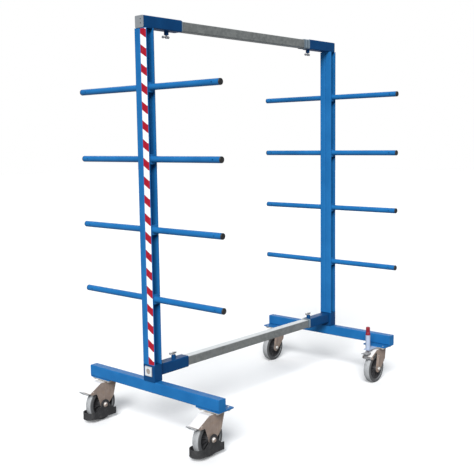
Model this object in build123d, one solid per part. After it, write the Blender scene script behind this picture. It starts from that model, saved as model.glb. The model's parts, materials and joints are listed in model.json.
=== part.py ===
"""Mobile double-sided cantilever rack with a telescoping length.

Two end frames stand on swivel casters and are joined by two square cross bars that slide in
sleeves. Each column is a pair of back-to-back C-rails, and round arms on sliders ride in them.

X runs along the rack (the near frame is at -X), Y across it, Z up from the floor. The plan
origin is the centre of the whole rack's bounding box. All lengths are in millimetres.
"""
import os
from build123d import *

# ---- frame ----------------------------------------------------------------------------------
COLUMN_SPAN = 1588.0        # centre to centre of the two columns
RAIL_WIDTH = 60.0           # C-rail, along X
RAIL_DEPTH = 41.0           # C-rail, along Y; two of them stand back to back
RAIL_WALL = 2.5
RAIL_SLOT = 40.0
RAIL_CORNER = 6.0
RAIL_LENGTH = 1700.0

FOOT_LENGTH = 970.0         # foot beam with its end caps, along Y
FOOT_WIDTH = 50.0
FOOT_HEIGHT = 60.0
FOOT_WALL = 3.0
FOOT_CORNER = 5.0
FOOT_PLATE_X = 110.0        # caster mounting plate under the foot beam
FOOT_PLATE_Y = 156.0
FOOT_PLATE_THICK = 6.0

BASE_HEIGHT = 88.0          # bracket between foot beam and rails
BASE_WALL = 4.0

SLEEVE_SIZE = 60.0
SLEEVE_WALL = 4.0
SLEEVE_CORNER = 6.0
SLEEVE_LENGTH = 264.0
PLUG_FLANGE = 3.0
LOWER_PLUG_SIZE = 51.0      # the lower plug leaves the sleeve's edge bare
PLUG_STEM = 22.0
NEAR_BUSH_LENGTH = 9.0      # guide bushes in front of the sleeves' mouths
FAR_TOP_BUSH_LENGTH = 55.0
FAR_BOTTOM_BUSH_LENGTH = 22.0
BUSH_SIZE = 56.0

BAR_SIZE = 50.0
BAR_WALL = 3.0
BAR_CORNER = 5.0
BAR_SETBACK = 70.0          # bar end from the outer end of its sleeve

# ---- clamp screws ---------------------------------------------------------------------------
NEAR_SCREW_INSET = 83.0     # screw axis from the sleeve mouth
FAR_SCREW_INSET = 13.0
BOSS_RADIUS = 12.0
BOSS_HEIGHT = 20.0
SCREW_RADIUS = 5.0
SCREW_HEAD_RADIUS = 7.0
SCREW_HEAD_HEIGHT = 13.0
SCREW_NECK = 4.0            # bare thread between boss and head
TOMMY_RADIUS = 3.5
TOMMY_LENGTH = 36.0         # between the centres of its end balls
TOMMY_BALL_RADIUS = 7.0
TOMMY_SHIFT = 5.5           # the loose bar has slid towards -X

# ---- arms -----------------------------------------------------------------------------------
LEVELS = 4
FIRST_LEVEL = 725.0         # arm axis above the floor
LEVEL_PITCH = 356.0
ARM_REACH = 510.0           # arm tip from the rack's centre plane
ARM_RADIUS = 16.0
ARM_WALL = 3.0
ARM_HOLE_RADIUS = 3.5       # stop-pin hole near the tip
ARM_HOLE_INSET = 42.0
CAP_HEAD = 7.0
CAP_STEM = 20.0
SLIDER_HEIGHT = 50.0
SLIDER_GAP = 0.6

# ---- casters --------------------------------------------------------------------------------
WHEEL_RADIUS = 90.0
TYRE_WIDTH = 42.0
RIM_RADIUS = 69.0
HUB_RADIUS = 22.0
HUB_HALF = 29.0
TRAIL = 55.0                # wheel axle behind the swivel axis
HEAD_TOP = 227.0            # caster head plate's upper face above the floor
HEAD_THICK = 6.0
HEAD_X = 104.0
HEAD_Y = 140.0
RACE_RADIUS = 40.0
RACE_HEIGHT = 7.5
KINGPIN_RADIUS = 8.0
CROWN_TOP = 213.0
CROWN_THICK = 8.0
CROWN_RADIUS = 42.0
FORK_HALF_GAP = 30.0
FORK_SHEET = 3.0
AXLE_RADIUS = 6.0
AXLE_SLEEVE_RADIUS = 10.0
PIVOT_X = -124.0            # brake pedal pivot, from the swivel axis
PIVOT_Z = 168.0
PIVOT_RADIUS = 4.0
RUNNING_GAP = 0.06          # radial clearance of a shaft in its bore
SEAT_GAP = 0.05             # radial clearance of a bolt in its hole

GUARD_WALL = 4.0
GUARD_HALF = 42.0
GUARD_LOW = 22.0
GUARD_HIGH = 60.0
GUARD_EAR_RADIUS = 28.0     # the guard's round ear about the axle

# ---- direction lock -------------------------------------------------------------------------
LOCK_X = -125.0             # lock axis, from the swivel axis
LOCK_RADIUS = 14.5
LOCK_LOW = 217.0
LOCK_HIGH = 314.0
LOCK_COLLAR_RADIUS = 14.5
LOCK_COLLAR_HIGH = 332.0
LOCK_CAP_RADIUS = 12.5
LOCK_CAP_HIGH = 366.0
LOCK_PIN_RADIUS = 6.0

# ---- warning tape ---------------------------------------------------------------------------
TAPE_WIDTH = 33.0
TAPE_THICK = 0.4

# ---- derived places -------------------------------------------------------------------------
NEAR_X = -COLUMN_SPAN / 2
NEAR_FACE = NEAR_X - RAIL_WIDTH / 2
BEAM_LOW = HEAD_TOP + FOOT_PLATE_THICK
BEAM_TOP = BEAM_LOW + FOOT_HEIGHT
RAIL_LOW = BEAM_TOP + BASE_HEIGHT
RAIL_TOP = RAIL_LOW + RAIL_LENGTH
LOWER_SLEEVE_Z = RAIL_LOW - BASE_WALL - SLEEVE_SIZE / 2
UPPER_SLEEVE_Z = RAIL_TOP + SLEEVE_SIZE / 2
SWIVEL_X = NEAR_X - FOOT_WIDTH / 2 + FOOT_PLATE_X / 2
SWIVEL_Y = FOOT_LENGTH / 2 - FOOT_PLATE_Y / 2
ARM_LEVELS = [FIRST_LEVEL + LEVEL_PITCH * i for i in range(LEVELS)]

nodes = {}


def add(name, *shapes):
    """Keep the shapes as the separate solids of one node."""
    nodes[name] = [solid for shape in shapes for solid in shape.solids()]


def far(shape):
    """The same piece on the far frame."""
    return mirror(shape, about=Plane.YZ)


def back(shape):
    """The same piece on the back side."""
    return mirror(shape, about=Plane.XZ)


def tube_section(width, height, wall, corner):
    bore = RectangleRounded(width - 2 * wall, height - 2 * wall, max(corner - wall, 1.0))
    return RectangleRounded(width, height, corner) - bore


def along_x(section, start, length, z):
    return extrude(Plane.YZ.offset(start) * Pos(0, z) * section, length)


def rod_y(radius, start, end, x=0.0, z=0.0):
    """A round bar along Y."""
    circle = Plane.XZ.offset(-start) * Pos(x, z) * Circle(radius)
    return extrude(circle, start - end)


def rod_z(radius, low, high, x=0.0, y=0.0):
    """A round bar along Z."""
    return extrude(Plane.XY.offset(low) * Pos(x, y) * Circle(radius), high - low)


def hex_z(across_flats, low, high, x=0.0, y=0.0):
    hexagon = RegularPolygon(across_flats / 2, 6, major_radius=False)
    return extrude(Plane.XY.offset(low) * Pos(x, y) * hexagon, high - low)


def hex_y(across_flats, start, end, x, z):
    hexagon = RegularPolygon(across_flats / 2, 6, major_radius=False)
    return extrude(Plane.XZ.offset(-start) * Pos(x, z) * hexagon, start - end)


def slab_y(face, start, end):
    """A flat XZ outline made solid from y = start to y = end."""
    return extrude(Plane.XZ.offset(-start) * face, start - end)


# ---- columns --------------------------------------------------------------------------------
def c_rail():
    """Front C-rail: its web is on the centre plane and its slot faces -Y."""
    middle = -RAIL_DEPTH / 2
    outer = Pos(NEAR_X, middle) * RectangleRounded(RAIL_WIDTH, RAIL_DEPTH, RAIL_CORNER)
    cavity_size = (RAIL_WIDTH - 2 * RAIL_WALL, RAIL_DEPTH - 2 * RAIL_WALL)
    cavity = Pos(NEAR_X, middle) * RectangleRounded(*cavity_size, RAIL_CORNER - RAIL_WALL)
    slot = Pos(NEAR_X, -RAIL_DEPTH) * Rectangle(RAIL_SLOT, 3 * RAIL_WALL)
    return extrude(Plane.XY.offset(RAIL_LOW) * (outer - cavity - slot), RAIL_LENGTH)


def column_base():
    """Inverted channel with pierced ends; it carries the rails and lets the sleeve through."""
    middle = BEAM_TOP + BASE_HEIGHT / 2
    outer = Pos(0, middle) * Rectangle(2 * RAIL_DEPTH, BASE_HEIGHT)
    mouth = Pos(0, middle - BASE_WALL) * Rectangle(2 * (RAIL_DEPTH - BASE_WALL), BASE_HEIGHT)
    channel = extrude(Plane.YZ.offset(NEAR_FACE) * (outer - mouth), RAIL_WIDTH)
    upright = [edge for edge in channel.edges().filter_by(Axis.Z) if abs(edge.center().Y) > 40.0]
    channel = fillet(upright, RAIL_CORNER - 0.5)
    hole_size = SLEEVE_SIZE + 0.4
    hole = Pos(0, LOWER_SLEEVE_Z) * RectangleRounded(hole_size, hole_size, SLEEVE_CORNER)
    end = Pos(0, middle) * Rectangle(2 * RAIL_DEPTH - BASE_WALL, BASE_HEIGHT) - hole
    for start in (NEAR_FACE + 1.0, NEAR_FACE + RAIL_WIDTH - 1.0 - BASE_WALL):
        channel += extrude(Plane.YZ.offset(start) * end, BASE_WALL)
    return channel


def foot_beam():
    section = tube_section(FOOT_WIDTH, FOOT_HEIGHT, FOOT_WALL, FOOT_CORNER)
    half = FOOT_LENGTH / 2 - FOOT_WALL
    return slab_y(Pos(NEAR_X, BEAM_LOW + FOOT_HEIGHT / 2) * section, half, -half)


def foot_end_cap():
    outline = Pos(NEAR_X, BEAM_LOW + FOOT_HEIGHT / 2)
    outline *= RectangleRounded(FOOT_WIDTH, FOOT_HEIGHT, FOOT_CORNER)
    half = FOOT_LENGTH / 2
    return slab_y(outline, FOOT_WALL - half, -half)


def bolt_places():
    """The four bolts of the front caster's head plate."""
    return [(SWIVEL_X + sx * 38.0, -SWIVEL_Y + sy * 55.0) for sx in (-1, 1) for sy in (-1, 1)]


def drill_bolts(shape):
    for x, y in bolt_places():
        shape -= rod_z(SCREW_RADIUS + 0.25, HEAD_TOP - 20.0, HEAD_TOP + 20.0, x, y)
    return shape


def foot_plate():
    outline = Pos(SWIVEL_X, -SWIVEL_Y) * RectangleRounded(FOOT_PLATE_X, FOOT_PLATE_Y, 3.0)
    return drill_bolts(extrude(Plane.XY.offset(HEAD_TOP) * outline, FOOT_PLATE_THICK))


# ---- sleeves, plugs and cross bars ----------------------------------------------------------
def sleeve(z, inset, side):
    """Square sleeve with a tapped boss; side is +1 with the boss on top, -1 with it below."""
    section = tube_section(SLEEVE_SIZE, SLEEVE_SIZE, SLEEVE_WALL, SLEEVE_CORNER)
    x = NEAR_FACE + SLEEVE_LENGTH - inset
    face = z + side * SLEEVE_SIZE / 2
    bore = rod_z(SCREW_RADIUS + 0.08, z + side * 24.0, z + side * 60.0, x)
    tube = along_x(section, NEAR_FACE, SLEEVE_LENGTH, z) - bore
    boss = rod_z(BOSS_RADIUS, face, face + side * BOSS_HEIGHT, x)
    rim = boss.faces().sort_by(Axis.Z)[-1 if side > 0 else 0].edges()
    return tube, fillet(rim, 2.5) - bore


def plug(z, size=SLEEVE_SIZE):
    """Plastic plug: a flange over the sleeve's end and a stem inside it."""
    flange_outline = RectangleRounded(size, size, SLEEVE_CORNER)
    inner = SLEEVE_SIZE - 2 * SLEEVE_WALL - 0.2
    stem = tube_section(inner, inner, 3.0, 3.0)
    flange = along_x(flange_outline, NEAR_FACE - PLUG_FLANGE, PLUG_FLANGE, z)
    front = flange.faces().sort_by(Axis.X)[0].edges()
    return fillet(front, 1.2) + along_x(stem, NEAR_FACE, PLUG_STEM, z)


def round_recess_plug(z):
    pocket = extrude(Plane.YZ.offset(NEAR_FACE - PLUG_FLANGE) * Pos(0, z) * Circle(15.0), 2.0)
    return plug(z, LOWER_PLUG_SIZE) - pocket


def two_hole_plug(z):
    holes = [Pos(-10.0, z + dz) * Circle(3.2) for dz in (-8.0, 12.0)]
    start = NEAR_FACE - PLUG_FLANGE
    return plug(z) - [extrude(Plane.YZ.offset(start) * hole, 2.0) for hole in holes]


def sleeve_bush(z, length):
    """Plastic guide bush at the mouth of a sleeve; the cross bar runs through it."""
    section = RectangleRounded(BUSH_SIZE, BUSH_SIZE, BAR_CORNER + 2.0)
    section -= RectangleRounded(BAR_SIZE + 1.0, BAR_SIZE + 1.0, BAR_CORNER + 0.5)
    return along_x(section, NEAR_FACE + SLEEVE_LENGTH, length, z)


def cross_bar(z):
    start = NEAR_FACE + BAR_SETBACK
    section = tube_section(BAR_SIZE, BAR_SIZE, BAR_WALL, BAR_CORNER)
    return along_x(section, start, -2 * start, z)


def clamp_screw(z, inset, side, tommy_shift):
    """Screw with a drilled head and a loose tommy bar with ball ends through it."""
    x = NEAR_FACE + SLEEVE_LENGTH - inset
    face = z + side * SLEEVE_SIZE / 2
    tip = z + side * (BAR_SIZE / 2 + 0.4)
    neck = face + side * (BOSS_HEIGHT + SCREW_NECK)
    crest = neck + side * SCREW_HEAD_HEIGHT
    middle = (neck + crest) / 2
    head = rod_z(SCREW_HEAD_RADIUS, neck, crest, x)
    head = chamfer(head.edges(), 1.2)
    bar = Pos(x + tommy_shift, 0, middle)
    tommy = bar * Rot(0, 90, 0) * Cylinder(TOMMY_RADIUS, TOMMY_LENGTH)
    for end in (-TOMMY_LENGTH / 2, TOMMY_LENGTH / 2):
        tommy += bar * Pos(end, 0, 0) * Sphere(TOMMY_BALL_RADIUS)
    hole = Pos(x, 0, middle) * Rot(0, 90, 0) * Cylinder(TOMMY_RADIUS + 0.1, 3 * SCREW_HEAD_RADIUS)
    return rod_z(SCREW_RADIUS, tip, neck, x) + head - hole, tommy


# ---- arms -----------------------------------------------------------------------------------
def arm(z):
    """Front arm: a round tube welded to the slider that rides in the C-rail."""
    inner = -RAIL_WALL - SLIDER_GAP
    outer = -RAIL_DEPTH + RAIL_WALL + SLIDER_GAP
    width = RAIL_WIDTH - 2 * (RAIL_WALL + SLIDER_GAP)
    block = Pos(NEAR_X, (inner + outer) / 2, z) * Box(width, inner - outer, SLIDER_HEIGHT)
    block = fillet(block.edges().filter_by(Axis.Z), 3.0)
    tip = -ARM_REACH + CAP_HEAD
    hole = Pos(NEAR_X, tip + ARM_HOLE_INSET, z) * Rot(0, 90, 0)
    hole *= Cylinder(ARM_HOLE_RADIUS, 3 * ARM_RADIUS)
    bore = rod_y(ARM_RADIUS - ARM_WALL, outer - 1.0, tip - 1.0, NEAR_X, z)
    return block + rod_y(ARM_RADIUS, outer + 1.0, tip, NEAR_X, z) - bore - hole


def arm_cap(z):
    tip = -ARM_REACH + CAP_HEAD
    head = rod_y(ARM_RADIUS, tip, -ARM_REACH, NEAR_X, z)
    head = fillet(head.faces().sort_by(Axis.Y)[0].edges(), CAP_HEAD - 2.0)
    return head + rod_y(ARM_RADIUS - ARM_WALL - 0.1, tip + CAP_STEM, tip, NEAR_X, z)


# ---- casters, modelled about the swivel axis at the origin ----------------------------------
def head_plate():
    """Head plate with the fixed ball race and the riveted kingpin."""
    plate = RectangleRounded(HEAD_X, HEAD_Y, 10.0)
    low = HEAD_TOP - HEAD_THICK
    head = extrude(Plane.XY.offset(low) * plate, HEAD_THICK)
    head += rod_z(RACE_RADIUS, low - RACE_HEIGHT, low)
    return head + rod_z(KINGPIN_RADIUS, CROWN_TOP - CROWN_THICK - 12.0, low)


def kingpin_nut():
    high = CROWN_TOP - CROWN_THICK - 0.5
    return hex_z(24.0, high - 9.0, high) - rod_z(KINGPIN_RADIUS, high - 20.0, high + 1.0)


def braced_cheek():
    """Side of a near fork: broad at the crown and drawn out to a hood behind the wheel."""
    corners = [(37, CROWN_TOP), (12, 126), (-38, 74), (-77, 84), (-92, 128)]
    corners += [(-103, 158), (-138, 158), (-151, 169), (-74, CROWN_TOP)]
    return make_face(Polyline(*corners, close=True))


def plain_cheek():
    """Side of a far fork: a leg that tapers from the crown to the axle, and a lug for the brake."""
    corners = [(37, CROWN_TOP), (26, 140), (-34, 78), (-78, 94), (-68, 160), (-66, 188), (-80, 196)]
    corners += [(-114, 176), (-134, 170), (-134, 178.7), (-74, CROWN_TOP)]
    return make_face(Polyline(*corners, close=True)) + Pos(PIVOT_X, PIVOT_Z) * Circle(9.5)


def cheek_outline(side):
    side += Pos(-TRAIL, WHEEL_RADIUS) * Circle(24.0)
    side -= Pos(-TRAIL, WHEEL_RADIUS) * Circle(AXLE_RADIUS + SEAT_GAP)
    return side - Pos(PIVOT_X, PIVOT_Z) * Circle(PIVOT_RADIUS + SEAT_GAP)


def fork(side, roof):
    """Two cheeks under a bent roof plate, with the round crown of the swivel on it."""
    outside = FORK_HALF_GAP + FORK_SHEET
    body = slab_y(make_face(Polyline(*roof, close=True)), FORK_HALF_GAP, -FORK_HALF_GAP)
    cheek = slab_y(cheek_outline(side), -FORK_HALF_GAP, -outside)
    body += [cheek, back(cheek), rod_z(CROWN_RADIUS, CROWN_TOP - CROWN_THICK, CROWN_TOP)]
    return body - rod_z(KINGPIN_RADIUS + RUNNING_GAP, CROWN_TOP - 30.0, CROWN_TOP + 1.0)


def hooded_fork():
    low = CROWN_TOP - 4.0
    roof = [(37, CROWN_TOP), (-74, CROWN_TOP), (-151, 169), (-149, 165.5), (-73, low), (37, low)]
    return fork(braced_cheek(), roof)


def open_fork():
    """Fork with a short roof and a stiffening flange turned out along the back of each leg."""
    low = CROWN_TOP - 4.0
    roof = [(37, CROWN_TOP), (-74, CROWN_TOP), (-134, 178.7), (-132, 175.2), (-73, low), (37, low)]
    strip = make_face(Polyline((-61, 178), (-64, 178), (-76, 108), (-73, 108), close=True))
    flange = slab_y(strip, -FORK_HALF_GAP, -FORK_HALF_GAP - 16.0)
    return fork(plain_cheek(), roof) + [flange, back(flange)]


def axle(grip):
    """Axle sleeve, bolt with washers, and nut; grip is half the clamped width."""
    x, z = -TRAIL, WHEEL_RADIUS
    bore = rod_y(AXLE_RADIUS + SEAT_GAP, grip + 20.0, -grip - 20.0, x, z)
    inner = FORK_HALF_GAP
    pieces = [rod_y(AXLE_SLEEVE_RADIUS, inner, -inner, x, z) - bore]
    pieces += [rod_y(13.5, side * (grip + 2.5), side * grip, x, z) - bore for side in (-1, 1)]
    head = fillet(rod_y(9.5, -grip - 2.5, -grip - 10.0, x, z).edges().sort_by(Axis.Y)[0], 3.0)
    pieces += [rod_y(AXLE_RADIUS, grip + 15.0, -grip - 2.5, x, z) + head]
    pieces += [hex_y(19.0, grip + 12.5, grip + 2.5, x, z) - bore]
    return pieces


def pivot_pin():
    outside = FORK_HALF_GAP + FORK_SHEET
    pin = rod_y(PIVOT_RADIUS, outside + 2.0, -outside - 2.0, PIVOT_X, PIVOT_Z)
    for side in (-1, 1):
        pin += rod_y(7.0, side * (outside + 2.0), side * outside, PIVOT_X, PIVOT_Z)
    return pin


def rim():
    """Wheel body turned about the axle: hub, web and rim ring."""
    bore = AXLE_SLEEVE_RADIUS + RUNNING_GAP
    half = TYRE_WIDTH / 2 - 2.0
    right = [(bore, HUB_HALF), (HUB_RADIUS - 3, HUB_HALF), (HUB_RADIUS, HUB_HALF - 3)]
    right += [(HUB_RADIUS + 2, 7), (RIM_RADIUS - 10, 5), (RIM_RADIUS - 7, half)]
    right += [(RIM_RADIUS, half)]
    left = [(radius, -y) for radius, y in reversed(right)]
    profile = make_face(Polyline(*right, *left, close=True))
    turned = revolve(Plane.XY * profile, Axis.Y)
    return Pos(-TRAIL, 0, WHEEL_RADIUS) * turned


def tyre():
    half = TYRE_WIDTH / 2
    band = Pos((RIM_RADIUS + WHEEL_RADIUS) / 2, 0)
    band *= Rectangle(WHEEL_RADIUS - RIM_RADIUS, TYRE_WIDTH)
    crown = [corner for corner in band.vertices() if corner.X > RIM_RADIUS + 1]
    turned = revolve(Plane.XY * fillet(crown, 0.32 * half), Axis.Y)
    return Pos(-TRAIL, 0, WHEEL_RADIUS) * turned


def long_pedal_side():
    """Arm that leaves from under the hood and rises to the tread."""
    corners = [(PIVOT_X, PIVOT_Z + 3), (-153, 161), (-179, 180), (-180, 187), (-186, 184)]
    corners += [(-184, 177), (-155, 156), (PIVOT_X, PIVOT_Z - 5)]
    return make_face(Polyline(*corners, close=True))


def short_pedal_side():
    """Cranked arm with a tread that reaches back over the fork's roof."""
    arm_corners = [(PIVOT_X, PIVOT_Z + 3), (-143, 166), (-150, 200), (-156, 200), (-148, 160)]
    arm_corners += [(PIVOT_X, PIVOT_Z - 5)]
    tread_corners = [(-172, 207), (-175, 203), (-168, 198), (-114, 196.5), (-114, 201)]
    tread_corners += [(-166, 202.5)]
    arm_face = make_face(Polyline(*arm_corners, close=True))
    return arm_face + make_face(Polyline(*tread_corners, close=True))


def pedal(side):
    """Brake pedal: the given side made solid, with a hub on the pivot pin."""
    lever = slab_y(side, 20.0, -20.0)
    lever += rod_y(9.0, FORK_HALF_GAP - 1.0, 1.0 - FORK_HALF_GAP, PIVOT_X, PIVOT_Z)
    bore = rod_y(PIVOT_RADIUS + RUNNING_GAP, 40.0, -40.0, PIVOT_X, PIVOT_Z)
    return lever - bore


def guard():
    """Foot guard: a horseshoe skirt round the wheel and two cheeks that rise to the axle."""
    rear = Pos(-TRAIL - 68.0, 0) * Circle(GUARD_HALF)
    length = TRAIL + 68.0 + 20.0
    outline = rear + Pos(20.0 - length / 2, 0) * Rectangle(length, 2 * GUARD_HALF)
    inside = GUARD_HALF - GUARD_WALL
    rear_bore = Pos(-TRAIL - 68.0, 0) * Circle(inside)
    outline -= rear_bore + Pos(30.0 - length / 2, 0) * Rectangle(length + 20.0, 2 * inside)
    skirt = extrude(Plane.XY.offset(GUARD_LOW) * outline, GUARD_HIGH - GUARD_LOW)
    low = GUARD_HIGH - 1.0
    corners = [(4, low), (-30, WHEEL_RADIUS), (-80, WHEEL_RADIUS), (-114, low)]
    side = make_face(Polyline(*corners, close=True))
    side += Pos(-TRAIL, WHEEL_RADIUS) * Circle(GUARD_EAR_RADIUS)
    side &= Pos(-TRAIL, low + 100.0) * Rectangle(200.0, 200.0)
    side -= Pos(-TRAIL, WHEEL_RADIUS) * Circle(AXLE_RADIUS + SEAT_GAP)
    cheek = slab_y(side, -inside, -GUARD_HALF)
    return skirt + cheek + back(cheek)


def guard_spacers():
    outside = FORK_HALF_GAP + FORK_SHEET
    inside = GUARD_HALF - GUARD_WALL
    bore = rod_y(AXLE_RADIUS + SEAT_GAP, 60.0, -60.0, -TRAIL, WHEEL_RADIUS)
    ring = rod_y(12.0, -outside, -inside, -TRAIL, WHEEL_RADIUS) - bore
    return ring, back(ring)


def head_bolt(x, y):
    """Hex bolt from below, tapped into the foot plate and ending flush with it."""
    low = HEAD_TOP - HEAD_THICK
    return hex_z(17.0, low - 6.4, low, x, y) + rod_z(SCREW_RADIUS, low, BEAM_LOW - 0.2, x, y)


# ---- direction lock, about the swivel axis --------------------------------------------------
def lock_housing():
    """Tube for the lock pin, on a strip that reaches back from the head plate."""
    low = HEAD_TOP - HEAD_THICK
    strip_start = LOCK_X - LOCK_RADIUS - 4.0
    strip_length = -HEAD_X / 2 - strip_start
    strip = Pos(strip_start + strip_length / 2, 0) * Rectangle(strip_length, 38.0)
    tube = Pos(LOCK_X, 0) * Circle(LOCK_RADIUS)
    body = extrude(Plane.XY.offset(LOCK_LOW) * tube, LOCK_HIGH - LOCK_LOW)
    body = chamfer(body.edges(), 1.5)
    body += extrude(Plane.XY.offset(low) * strip, HEAD_THICK)
    return body - rod_z(LOCK_PIN_RADIUS + RUNNING_GAP, LOCK_LOW - 5, LOCK_HIGH + 5, LOCK_X)


def lock_pin():
    """Pin with a pull cap that rests on the housing; the tip shows below it."""
    collar = rod_z(LOCK_COLLAR_RADIUS, LOCK_HIGH, LOCK_COLLAR_HIGH, LOCK_X)
    collar = chamfer(collar.edges().sort_by(Axis.Z)[-1], 3.0)
    cap = rod_z(LOCK_CAP_RADIUS, LOCK_COLLAR_HIGH, LOCK_CAP_HIGH, LOCK_X)
    cap = fillet(cap.edges().sort_by(Axis.Z)[-1], 3.0)
    return collar + cap + rod_z(LOCK_PIN_RADIUS, LOCK_LOW - 6.0, LOCK_HIGH, LOCK_X)


# ---- the two frames -------------------------------------------------------------------------
def frame_pieces():
    """Pieces that both frames have, as the near frame holds them."""
    rail = c_rail()
    cap = foot_end_cap()
    plate = foot_plate()
    return {
        "rails": (rail, back(rail)),
        "column_base": (column_base(),),
        "foot_beam": (foot_beam(),),
        "foot_plates": (plate, back(plate), cap, back(cap)),
    }


def caster_heads():
    """Head plates, kingpin nuts and bolts of the near frame's two casters."""
    place = Pos(SWIVEL_X, -SWIVEL_Y, 0)
    pieces = [drill_bolts(place * head_plate()), place * kingpin_nut()]
    pieces += [head_bolt(x, y) for x, y in bolt_places()]
    return pieces + [back(piece) for piece in pieces]


for piece_name, shapes in frame_pieces().items():
    add("near_" + piece_name, *shapes)
    add("far_" + piece_name, *[far(shape) for shape in shapes])

for name, z, side in (("top", UPPER_SLEEVE_Z, -1), ("bottom", LOWER_SLEEVE_Z, 1)):
    add(f"near_{name}_sleeve", *sleeve(z, NEAR_SCREW_INSET, side))
    add(f"far_{name}_sleeve", *[far(shape) for shape in sleeve(z, FAR_SCREW_INSET, side)])
    near_screw = clamp_screw(z, NEAR_SCREW_INSET, side, -TOMMY_SHIFT)
    far_screw = clamp_screw(z, FAR_SCREW_INSET, side, TOMMY_SHIFT)
    add(f"near_{name}_clamp_screw", *near_screw)
    add(f"far_{name}_clamp_screw", *[far(shape) for shape in far_screw])

add("crossbars", cross_bar(UPPER_SLEEVE_Z), cross_bar(LOWER_SLEEVE_Z))
add("near_end_plugs", two_hole_plug(UPPER_SLEEVE_Z), round_recess_plug(LOWER_SLEEVE_Z))
add("far_end_plugs", far(plug(UPPER_SLEEVE_Z)), far(plug(LOWER_SLEEVE_Z)))
add("near_bush", sleeve_bush(UPPER_SLEEVE_Z, NEAR_BUSH_LENGTH))
upper_bush = sleeve_bush(UPPER_SLEEVE_Z, FAR_TOP_BUSH_LENGTH)
lower_bush = sleeve_bush(LOWER_SLEEVE_Z, FAR_BOTTOM_BUSH_LENGTH)
add("far_bushes", far(upper_bush), far(lower_bush))

heads = caster_heads()
add("near_caster_heads", *heads)
add("far_caster_heads", *[far(piece) for piece in heads])

tape_middle = -RAIL_DEPTH / 2
tape = Box(TAPE_THICK, TAPE_WIDTH, RAIL_LENGTH - 8.0)
add("warning_tape", Pos(NEAR_FACE - TAPE_THICK / 2, tape_middle, RAIL_LOW + RAIL_LENGTH / 2) * tape)

for level, z in enumerate(ARM_LEVELS, start=1):
    pair = (arm(z), back(arm(z)))
    caps = (arm_cap(z), back(arm_cap(z)))
    add(f"near_arms_{level}", *pair)
    add(f"near_arm_caps_{level}", *caps)
    add(f"far_arms_{level}", *[far(shape) for shape in pair])
    add(f"far_arm_caps_{level}", *[far(shape) for shape in caps])

# ---- the four casters, all trailing towards -X ----------------------------------------------
plain_grip = FORK_HALF_GAP + FORK_SHEET
CASTERS = {
    "near_front": (SWIVEL_X, -SWIVEL_Y, GUARD_HALF),
    "near_back": (SWIVEL_X, SWIVEL_Y, GUARD_HALF),
    "far_front": (-SWIVEL_X, -SWIVEL_Y, plain_grip),
    "far_back": (-SWIVEL_X, SWIVEL_Y, plain_grip),
}
for caster, (x, y, grip) in CASTERS.items():
    place = Pos(x, y, 0)
    if grip == GUARD_HALF:
        fork_group = [hooded_fork(), pivot_pin(), *axle(grip), *guard_spacers()]
        lever = pedal(long_pedal_side())
        add(f"{caster}_guard", place * guard())
    else:
        fork_group = [open_fork(), pivot_pin(), *axle(grip)]
        lever = pedal(short_pedal_side())
    add(f"{caster}_fork", *[place * piece for piece in fork_group])
    add(f"{caster}_rim", place * rim())
    add(f"{caster}_tyre", place * tyre())
    add(f"{caster}_pedal", place * lever)

lock_place = Pos(-SWIVEL_X, -SWIVEL_Y, 0)
add("lock_housing", lock_place * lock_housing())
add("lock_pin", lock_place * lock_pin())

# ---- move the plan origin to the middle of the bounding box and write the parts -------------
whole = Compound([solid for solids in nodes.values() for solid in solids]).bounding_box()
SHIFT_X = -(whole.min.X + whole.max.X) / 2

os.makedirs("parts", exist_ok=True)
for name, solids in nodes.items():
    moved = [Pos(SHIFT_X, 0, 0) * solid for solid in solids]
    export_step(moved[0] if len(moved) == 1 else Compound(moved), f"parts/{name}.step")

print(f"{len(nodes)} nodes, shift {SHIFT_X:.3f}, size {whole.size.X:.1f} x {whole.size.Y:.1f}"
      f" x {whole.size.Z:.1f}, low {whole.min.Z:.3f}")
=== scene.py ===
import json
import math
import random

import bmesh
import bpy
from mathutils import Matrix, Vector


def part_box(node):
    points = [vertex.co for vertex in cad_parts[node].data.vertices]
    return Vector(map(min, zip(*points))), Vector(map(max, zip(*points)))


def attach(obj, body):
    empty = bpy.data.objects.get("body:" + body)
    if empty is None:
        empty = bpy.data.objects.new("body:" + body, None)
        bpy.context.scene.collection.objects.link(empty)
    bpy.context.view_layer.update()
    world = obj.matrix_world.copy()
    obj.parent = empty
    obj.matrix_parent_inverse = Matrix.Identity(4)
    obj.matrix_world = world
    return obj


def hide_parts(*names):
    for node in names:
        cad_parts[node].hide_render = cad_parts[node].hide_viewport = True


# Cantilever rack: finishes for the CAD nodes, finer pieces in place of the ones that the CAD only
# blocks in, welds and threads, and a plain studio.
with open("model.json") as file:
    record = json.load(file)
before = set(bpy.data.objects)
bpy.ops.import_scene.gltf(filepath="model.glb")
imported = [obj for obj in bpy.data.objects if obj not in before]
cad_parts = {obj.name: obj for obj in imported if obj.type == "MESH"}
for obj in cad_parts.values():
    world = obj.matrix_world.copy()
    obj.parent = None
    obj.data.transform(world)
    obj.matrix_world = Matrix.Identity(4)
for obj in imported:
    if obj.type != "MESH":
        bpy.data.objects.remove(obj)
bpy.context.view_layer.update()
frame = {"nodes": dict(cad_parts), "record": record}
NODES = frame["nodes"]
RECORD = frame["record"]
JOINTS = {joint["name"]: joint for joint in RECORD["behaviour"]["joints"]}
SLOT_OF = {row["node"]: row["material_slot"] for row in RECORD["subparts"]}
CASTERS = ("near_front", "near_back", "far_front", "far_back")
ENDS = ("near", "far")
ARM_LEVELS = (1, 2, 3, 4)
BAR_LEVELS = ("top", "bottom")
MM = 0.001                  # the scene is in metres
UP = Vector((0, 0, 1))
ALONG_Y = Vector((0, 1, 0))     # the way the axles and the arms point
random.seed(7)


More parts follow.
